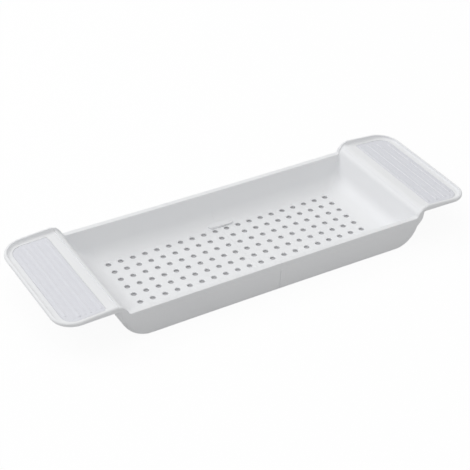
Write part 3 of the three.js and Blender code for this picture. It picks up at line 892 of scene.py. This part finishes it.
# %% [markdown]
# ## Bars on a grid: holes and studs
# The floor has straight rows and columns of round drain holes, and the wing has a few more for
# the grip's studs. One hole could be cut seventy times by hand. A geometry tree makes all the
# bars at once: it sets a grid of points and puts a bar on each. The bars then cut holes or stand
# as studs. Each bar flares where it leaves the plate, which rounds the hole's edge.

# %% Tree that sets bars on a grid
BAR_SEGMENTS = 14


def bar_tree():
    """A tree that sets a bar on each point of a grid, wider towards both of its ends."""
    tree, given = geometry_tree("bars_on_a_grid", {
        "Grid length": "Float", "Grid width": "Float", "Columns": "Int", "Rows": "Int",
        "Middle": "Vector", "Lean": "Vector", "Sides": "Int", "Radius": "Float",
        "Height": "Float", "Flare from": "Float", "Flare to": "Float", "Flare": "Float",
        "Material": "Material",
    })
    grid = add(tree, "GeometryNodeMeshGrid", {
        "Size X": given["Grid length"], "Size Y": given["Grid width"],
        "Vertices X": given["Columns"], "Vertices Y": given["Rows"],
    })
    spots = add(tree, "GeometryNodeTransform", {
        "Geometry": grid.outputs["Mesh"],
        "Translation": given["Middle"], "Rotation": given["Lean"],
    })
    bar = add(tree, "GeometryNodeMeshCylinder", {
        "Vertices": given["Sides"], "Side Segments": BAR_SEGMENTS,
        "Radius": given["Radius"], "Depth": given["Height"],
    })
    place = add(tree, "GeometryNodeInputPosition").outputs["Position"]
    parts = add(tree, "ShaderNodeSeparateXYZ", {"Vector": place})
    height = add(tree, "ShaderNodeMath", {0: parts.outputs["Z"]}, operation="ABSOLUTE")
    growth = add(tree, "ShaderNodeMapRange", {
        "Value": height.outputs[0], "From Min": given["Flare from"], "From Max": given["Flare to"],
        "To Min": 1.0, "To Max": given["Flare"],
    }, interpolation_type="SMOOTHSTEP")
    factor = add(tree, "ShaderNodeCombineXYZ", {
        "X": growth.outputs["Result"], "Y": growth.outputs["Result"], "Z": 1.0,
    })
    wide = add(tree, "ShaderNodeVectorMath", {
        0: place, 1: factor.outputs["Vector"],
    }, operation="MULTIPLY")
    flared = add(tree, "GeometryNodeSetPosition", {
        "Geometry": bar.outputs["Mesh"], "Position": wide.outputs["Vector"],
    })
    spread = add(tree, "GeometryNodeInstanceOnPoints", {
        "Points": spots.outputs["Geometry"], "Instance": flared.outputs["Geometry"],
    })
    real = add(tree, "GeometryNodeRealizeInstances", {"Geometry": spread.outputs["Instances"]})
    finished = add(tree, "GeometryNodeSetMaterial", {
        "Geometry": real.outputs["Geometry"], "Material": given["Material"],
    })
    add(tree, "NodeGroupOutput", {"Geometry": finished.outputs["Geometry"]})
    return tree


bars = bar_tree()
print("tree:", bars.name, "with", len(bars.nodes), "nodes")

# %% Helper that makes the bars
BAR_OVERRUN = 0.3 * MM


def make_bars(
    name, columns, rows, middle, column_pitch, row_pitch,
    sides, radius, thickness, edge, material, tilt=0.0,
):
    """Bars through a plate of this thickness, which widen by the edge where they leave it."""
    return grow_with(new_piece(name, [], []), bars, {
        "Grid length": (columns - 1) * column_pitch, "Grid width": (rows - 1) * row_pitch,
        "Columns": columns, "Rows": rows, "Middle": middle, "Lean": (0.0, tilt, 0.0),
        "Sides": sides, "Radius": radius, "Height": thickness + 2 * BAR_OVERRUN,
        "Flare from": thickness / 2 - edge, "Flare to": thickness / 2 + edge,
        "Flare": 1 + 2 * edge / radius, "Material": material,
    })


print("a bar reaches", BAR_OVERRUN / MM, "mm past the plate that it cuts")

# %% Drain holes
COLUMN_PITCH = 19 * MM
HOLE_COLUMNS = 10
HOLE_ROWS = 7
HOLE_DIAMETER = 8 * MM
HOLE_EDGE = 0.5 * MM
HOLE_SIDES = 32
TONGUE_HOLE_GAP = 1.5 * MM
ROW_PITCH = (TONGUE_INNER_Y - TONGUE_HOLE_GAP - HOLE_DIAMETER / 2) / ((HOLE_ROWS - 1) / 2)

drills = make_bars(
    "drills", HOLE_COLUMNS, HOLE_ROWS, (HOLE_COLUMNS * COLUMN_PITCH / 2, 0, SKIN / 2),
    COLUMN_PITCH, ROW_PITCH, HOLE_SIDES, HOLE_DIAMETER / 2, SKIN, HOLE_EDGE, white_plastic,
)
combine(half, drills, "DIFFERENCE")
print("drained:", len(half.data.polygons), "faces")

# %% Stud holes
STUD_DIAMETER = 6 * MM
STUD_EDGE = 11 * MM
STUD_ROWS = 4
STUD_COLUMNS = 2
STUD_SIDES = 24
STUD_COLUMN_PITCH = GRIP_LENGTH - 2 * STUD_EDGE
STUD_ROW_PITCH = 2 * (GRIP_HALF_WIDTH - STUD_EDGE) / (STUD_ROWS - 1)
GRIP_MID_X = (GRIP_INNER_X + GRIP_OUTER_X) / 2
WING_UNDERSIDE = WING_TOP - WING_SKIN
WING_LEAN = math.atan(WING_FALL_SHARE)


def stud_bars(name, radius, low, high, edge, material):
    """Bars at the studs' places, between two heights that fall with the wing."""
    middle = (GRIP_MID_X, 0, (low + high) / 2 - wing_fall(GRIP_MID_X))
    return make_bars(
        name, STUD_COLUMNS, STUD_ROWS, middle, STUD_COLUMN_PITCH, STUD_ROW_PITCH,
        STUD_SIDES, radius, high - low, edge, material, WING_LEAN,
    )


stud_holes = stud_bars(
    "stud_holes", STUD_DIAMETER / 2 + GRIP_CLEARANCE,
    WING_UNDERSIDE, RECESS_FLOOR, HOLE_EDGE, white_plastic,
)
combine(half, stud_holes, "DIFFERENCE")
print("drilled for studs:", len(half.data.polygons), "faces")

# %% [markdown]
# ## The grip
# A grip is one soft moulding: a thin ribbed plate, studs that pass through the wing, and a foot
# below that keeps the caddy from sliding. The plate falls with the wing and the foot's underside
# is level, so that it lies flat on a bath. The ribs repeat, so a geometry tree places them: each
# rib is a stretched sphere, which gives it a round back and round ends at once. Its crest leans
# towards the tray, so that it is steep on that side and holds a hand that pulls outwards.

# %% Plate, studs and foot
GRIP_EDGE = 0.4 * MM
GRIP_FOOT = 1.6 * MM
GRIP_FOOT_INSET = 4 * MM
STUD_FLARE = HOLE_EDGE / 2
FOOT_TOP = WING_UNDERSIDE - GRIP_CLEARANCE
FOOT_BOTTOM = FOOT_TOP - wing_fall(GRIP_OUTER_X - GRIP_FOOT_INSET) - GRIP_FOOT
FOOT_ROUND = 0.6 * MM


def foot_plan(grow):
    """The outline of the foot under the wing, smaller than the plate all round."""
    return grip_plan(grow - GRIP_FOOT_INSET)


plate_levels = rounded_levels(GRIP_TOP - GRIP_PLATE, GRIP_TOP, 0, GRIP_EDGE)[RIM_STEPS:]
grip = lean(stack("grip_right_look", grip_plan, plate_levels))
foot_levels = rounded_levels(FOOT_BOTTOM, WING_TOP, FOOT_ROUND, 0)[: RIM_STEPS + 2]
foot = stack("foot", foot_plan, foot_levels)
foot_window = lean(stack("foot_window", grip_plan, [(0, 0), (0, FOOT_TOP)]))
combine(grip, combine(foot, foot_window, "INTERSECT"), "UNION")
studs = stud_bars(
    "studs", STUD_DIAMETER / 2, FOOT_TOP, GRIP_TOP - GRIP_PLATE, STUD_FLARE, soft_grip,
)
combine(grip, studs, "UNION")
print("grip plates:", len(grip.data.polygons), "faces")

# %% Tree that makes ribs
RIB_SEGMENTS = 24
RIB_RINGS = 9


def rib_tree():
    """A tree that joins ribs along a line to a mesh. A rib is a stretched and leant sphere."""
    tree, given = geometry_tree("line_of_ribs", {
        "First": "Vector", "Last": "Vector", "Count": "Int", "Half size": "Vector",
        "Stretch": "Vector", "Crest shift": "Vector", "Material": "Material",
    })
    line = add(tree, "GeometryNodeMeshLine", {
        "Count": given["Count"], "Start Location": given["First"], "Offset": given["Last"],
    }, mode="END_POINTS")
    ball = add(tree, "GeometryNodeMeshUVSphere", {
        "Segments": RIB_SEGMENTS, "Rings": RIB_RINGS, "Radius": 1.0,
    })
    lying = add(tree, "GeometryNodeTransform", {
        "Geometry": ball.outputs["Mesh"], "Rotation": (math.pi / 2, 0.0, 0.0),
    })
    place = add(tree, "GeometryNodeInputPosition").outputs["Position"]
    side = add(tree, "ShaderNodeVectorMath", {0: place}, operation="SIGN")
    moved = add(tree, "ShaderNodeVectorMath", {
        0: side.outputs["Vector"], 1: given["Stretch"],
    }, operation="MULTIPLY")
    drawn = add(tree, "ShaderNodeVectorMath", {
        0: place, 1: given["Half size"], 2: moved.outputs["Vector"],
    }, operation="MULTIPLY_ADD")
    height = add(tree, "ShaderNodeSeparateXYZ", {"Vector": place}).outputs["Z"]
    leant = add(tree, "ShaderNodeVectorMath", {
        0: given["Crest shift"], 1: height, 2: drawn.outputs["Vector"],
    }, operation="MULTIPLY_ADD")
    rib = add(tree, "GeometryNodeSetPosition", {
        "Geometry": lying.outputs["Geometry"], "Position": leant.outputs["Vector"],
    })
    spread = add(tree, "GeometryNodeInstanceOnPoints", {
        "Points": line.outputs["Mesh"], "Instance": rib.outputs["Geometry"],
    })
    joined = add(tree, "GeometryNodeJoinGeometry", {
        "Geometry": [given["Geometry"], spread.outputs["Instances"]],
    })
    real = add(tree, "GeometryNodeRealizeInstances", {"Geometry": joined.outputs["Geometry"]})
    finished = add(tree, "GeometryNodeSetMaterial", {
        "Geometry": real.outputs["Geometry"], "Material": given["Material"],
    })
    add(tree, "NodeGroupOutput", {"Geometry": finished.outputs["Geometry"]})
    return tree


rib_line = rib_tree()
print("tree:", rib_line.name, "with", len(rib_line.nodes), "nodes")

# %% Ribs: every second one is lower, and the last one is shorter, beside the round corners
RIB_COUNT = 7
RIB_WIDTH = 4.2 * MM
RIB_CREST_SHIFT = 1.3 * MM
RIB_HEIGHT = 1 * MM
LOW_RIB_HEIGHT = 0.5 * MM
RIB_MARGIN = 2.8 * MM
RIB_CORNER_CUT = 10 * MM
RIB_END_MARGIN = 5.2 * MM
RIB_FIRST_X = GRIP_INNER_X + RIB_MARGIN + RIB_WIDTH / 2
RIB_PITCH = (GRIP_OUTER_X - RIB_MARGIN - RIB_WIDTH / 2 - RIB_FIRST_X) / (RIB_COUNT - 1)
RIB_HALF_LENGTH = GRIP_HALF_WIDTH - RIB_END_MARGIN


def rib_place(index):
    """The middle of a rib's foot, on the plate that falls with the wing."""
    x = RIB_FIRST_X + index * RIB_PITCH
    return (x, 0, GRIP_TOP - wing_fall(x))


for first, last, count, height, half_length in (
    (0, RIB_COUNT - 3, (RIB_COUNT - 1) // 2, RIB_HEIGHT, RIB_HALF_LENGTH),
    (1, RIB_COUNT - 2, (RIB_COUNT - 1) // 2, LOW_RIB_HEIGHT, RIB_HALF_LENGTH),
    (RIB_COUNT - 1, RIB_COUNT - 1, 1, RIB_HEIGHT, RIB_HALF_LENGTH - RIB_CORNER_CUT),
):
    grow_with(grip, rib_line, {
        "First": rib_place(first), "Last": rib_place(last), "Count": count,
        "Half size": (RIB_WIDTH / 2, RIB_WIDTH / 2, height),
        "Stretch": (0.0, half_length - RIB_WIDTH / 2, 0.0),
        "Crest shift": (-RIB_CREST_SHIFT, 0.0, 0.0), "Material": soft_grip,
    })
print("grip:", len(grip.data.polygons), "faces")

# %% One finish for each piece


def finish_with(piece, material):
    """Every face of the piece takes the one material."""
    piece.data.materials.clear()
    piece.data.materials.append(material)
    piece.data.polygons.foreach_set("material_index", [0] * len(piece.data.polygons))


finish_with(half, white_plastic)
finish_with(grip, soft_grip)
print("finishes:", half.data.materials[0].name, "and", grip.data.materials[0].name)

# %% [markdown]
# ## Smooth shading and the second half
# Curved faces are shaded smooth, real edges stay sharp, and weighted normals keep the large
# flat faces flat. The left half is the right one turned half way round about the upright axis
# at the seam, so its meshes are turned copies, and nothing has to be modelled twice.

# %% Shade the pieces
SHARP_ANGLE = math.radians(32)


def shade(piece):
    """Smooth faces, sharp real edges, and normals that follow the larger faces."""
    piece.data.shade_smooth()
    piece.data.set_sharp_from_angle(angle=SHARP_ANGLE)
    weigh = piece.modifiers.new("weigh", "WEIGHTED_NORMAL")
    weigh.keep_sharp = True
    return settle(piece)


for piece in (half, grip):
    shade(piece)
    print(piece.name, "holds", round(volume(piece.data) / MM**3 / 1000), "cubic centimetres")

# %% Turn copies into the left half


def turned_copy(piece, name):
    """A copy turned half way round, with its place in its mesh."""
    mesh = piece.data.copy()
    mesh.name = name
    mesh.transform(Matrix.Rotation(math.pi, 4, "Z"))
    copy = bpy.data.objects.new(name, mesh)
    bpy.context.scene.collection.objects.link(copy)
    return copy


left_half = turned_copy(half, "tray_half_left_look")
left_grip = turned_copy(grip, "grip_left_look")
print("turned copies:", left_half.name, "and", left_grip.name)

# %% Hang every piece on its body
for piece, body, node, slot in (
    (half, "right", "tray_half_right", "white_plastic"),
    (grip, "right", "grip_right", "soft_grip"),
    (left_half, "left", "tray_half_left", "white_plastic"),
    (left_grip, "left", "grip_left", "soft_grip"),
):
    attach(piece, body)
    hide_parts(node)
    print(piece.name, "rides on", body)

# %% [markdown]
# ## The studio
# The photograph is taken in soft studio light on a white ground. A large lamp behind and to the
# left brightens what faces it, and leaves the walls that face the camera greyer. A weaker one
# above evens this out, and the white room fills the rest. The floor and the world look white to
# the camera through the light path, so no extra light has to burn them out, and the floor keeps
# a faint shadow. The floor that shows through the drain holes has to look shaded, so the white
# is left out near the middle wherever something covers the floor closely, and the floor there is
# painted a darker grey: painted shade.

# %% Helper for what the camera sees of the ground and the room
GROUND_WHITE = "#ffffff"


def seen_directly(tree):
    """1 for camera, glossy and transmission rays, and 0 for the rays that carry diffuse light."""
    path = add(tree, "ShaderNodeLightPath").outputs
    mirrored = add(tree, "ShaderNodeMath", {
        0: path["Is Glossy Ray"], 1: path["Is Transmission Ray"],
    }, operation="MAXIMUM").outputs[0]
    return add(tree, "ShaderNodeMath", {
        0: path["Is Camera Ray"], 1: mirrored,
    }, operation="MAXIMUM").outputs[0]


print("the ground shows as", GROUND_WHITE)

# %% Floor finish
# The floor that the camera sees is mostly plain white. The rest of it is matt and greyer, so
# that a shadow shows, and the white is a little over 1 to make up for it.
FLOOR_SHOWN_WHITE = 0.9
FLOOR_WHITE_STRENGTH = 1.04
FLOOR_COLOUR = "#d6d6d6"
# Under the caddy the floor is painted darker: painted shade that shows through the drain holes.
FLOOR_PAINTED_SHADE_COLOUR = "#c2c2c4"
SHADE_HALF_LENGTH = 195 * MM
SHADE_HALF_WIDTH = 80 * MM
SHADE_EDGE = 15 * MM
SHADE_REACH = 5 * MM
SHADE_OPENNESS = (0.85, 1.0)
SHADE_SAMPLES = 16


def floor_finish():
    """Matt to the light, almost white to the camera, painted shade where the caddy covers it."""
    finish = bpy.data.materials.new("studio_floor")
    finish.use_nodes = True
    tree = finish.node_tree
    tree.nodes.clear()
    white = add(tree, "ShaderNodeEmission", {
        "Color": linear(GROUND_WHITE), "Strength": FLOOR_WHITE_STRENGTH,
    }).outputs["Emission"]
    place = add(tree, "ShaderNodeTexCoord").outputs["Object"]
    spread = add(tree, "ShaderNodeVectorMath", {0: place}, operation="ABSOLUTE").outputs["Vector"]
    beyond = add(tree, "ShaderNodeVectorMath", {
        0: spread, 1: (SHADE_HALF_LENGTH, SHADE_HALF_WIDTH, 0.0),
    }, operation="SUBTRACT").outputs["Vector"]
    parts = add(tree, "ShaderNodeSeparateXYZ", {"Vector": beyond}).outputs
    outside = add(tree, "ShaderNodeMath", {
        0: parts["X"], 1: parts["Y"],
    }, operation="MAXIMUM").outputs[0]
    away = add(tree, "ShaderNodeMapRange", {
        "Value": outside, "From Max": SHADE_EDGE,
    }).outputs["Result"]
    openness = add(tree, "ShaderNodeAmbientOcclusion", {
        "Distance": SHADE_REACH,
    }, samples=SHADE_SAMPLES).outputs["AO"]
    bare = add(tree, "ShaderNodeMapRange", {
        "Value": openness, "From Min": SHADE_OPENNESS[0], "From Max": SHADE_OPENNESS[1],
    }).outputs["Result"]
    open_floor = add(tree, "ShaderNodeMath", {0: away, 1: bare}, operation="MAXIMUM").outputs[0]
    # Where the floor is covered, it takes the darker colour: painted shade.
    colour = add(tree, "ShaderNodeMix", {
        "Factor": open_floor, "A": linear(FLOOR_PAINTED_SHADE_COLOUR), "B": linear(FLOOR_COLOUR),
    }, data_type="RGBA").outputs["Result"]
    matt = add(tree, "ShaderNodeBsdfDiffuse", {"Color": colour}).outputs["BSDF"]
    lit = add(tree, "ShaderNodeMath", {
        0: open_floor, 1: FLOOR_SHOWN_WHITE,
    }, operation="MULTIPLY").outputs[0]
    share = add(tree, "ShaderNodeMath", {0: seen_directly(tree), 1: lit}, operation="MULTIPLY")
    mixed = add(tree, "ShaderNodeMixShader", {0: share.outputs[0], 1: matt, 2: white})
    add(tree, "ShaderNodeOutputMaterial", {"Surface": mixed.outputs["Shader"]})
    return finish


studio_matt = floor_finish()
print("finish:", studio_matt.name)

# %% Floor
FLOOR_HALF_SIZE = 8.0
FLOOR_DROP = 0.2 * MM

size = FLOOR_HALF_SIZE
floor = new_piece("studio_floor", [
    (-size, -size, -FLOOR_DROP), (size, -size, -FLOOR_DROP),
    (size, size, -FLOOR_DROP), (-size, size, -FLOOR_DROP),
], [(0, 1, 2, 3)])
floor.data.materials.append(studio_matt)
print("floor is", 2 * size, "m wide")

# %% World
ROOM_LIGHT = 0.5
SHOWN_LIGHT = 1.0

world = bpy.data.worlds.new("studio")
world.use_nodes = True
bpy.context.scene.world = world
sky = world.node_tree
sky.nodes.clear()
room = add(sky, "ShaderNodeBackground", {"Color": linear(GROUND_WHITE), "Strength": ROOM_LIGHT})
shown = add(sky, "ShaderNodeBackground", {"Color": linear(GROUND_WHITE), "Strength": SHOWN_LIGHT})
mixed = add(sky, "ShaderNodeMixShader", {
    0: seen_directly(sky), 1: room.outputs["Background"], 2: shown.outputs["Background"],
})
add(sky, "ShaderNodeOutputWorld", {"Surface": mixed.outputs["Shader"]})
print("room light", ROOM_LIGHT)

# %% Lamps
LAMP_WIDTH = 2.4
LAMP_TARGET = Vector((0, 0, 0))
# Each lamp's place in metres and its power in watts.
LAMPS = {
    "lamp_back_left": (Vector((-2.4, 2.4, 3.0)), 62),
    "lamp_above": (Vector((0, 0, 3.5)), 26),
}

for name, (place, power) in LAMPS.items():
    lamp_data = bpy.data.lights.new(name, "AREA")
    lamp_data.size = LAMP_WIDTH
    lamp_data.energy = power
    lamp = bpy.data.objects.new(name, lamp_data)
    lamp.location = place
    lamp.rotation_mode = "QUATERNION"
    lamp.rotation_quaternion = (LAMP_TARGET - place).to_track_quat("-Z", "Y")
    bpy.context.scene.collection.objects.link(lamp)
    print(name, "burns at", power, "W")

# %% [markdown]
# ## View settings
# The standard view transform shows colours about as they are written.

# %% Finish
bpy.context.scene.view_settings.view_transform = "Standard"
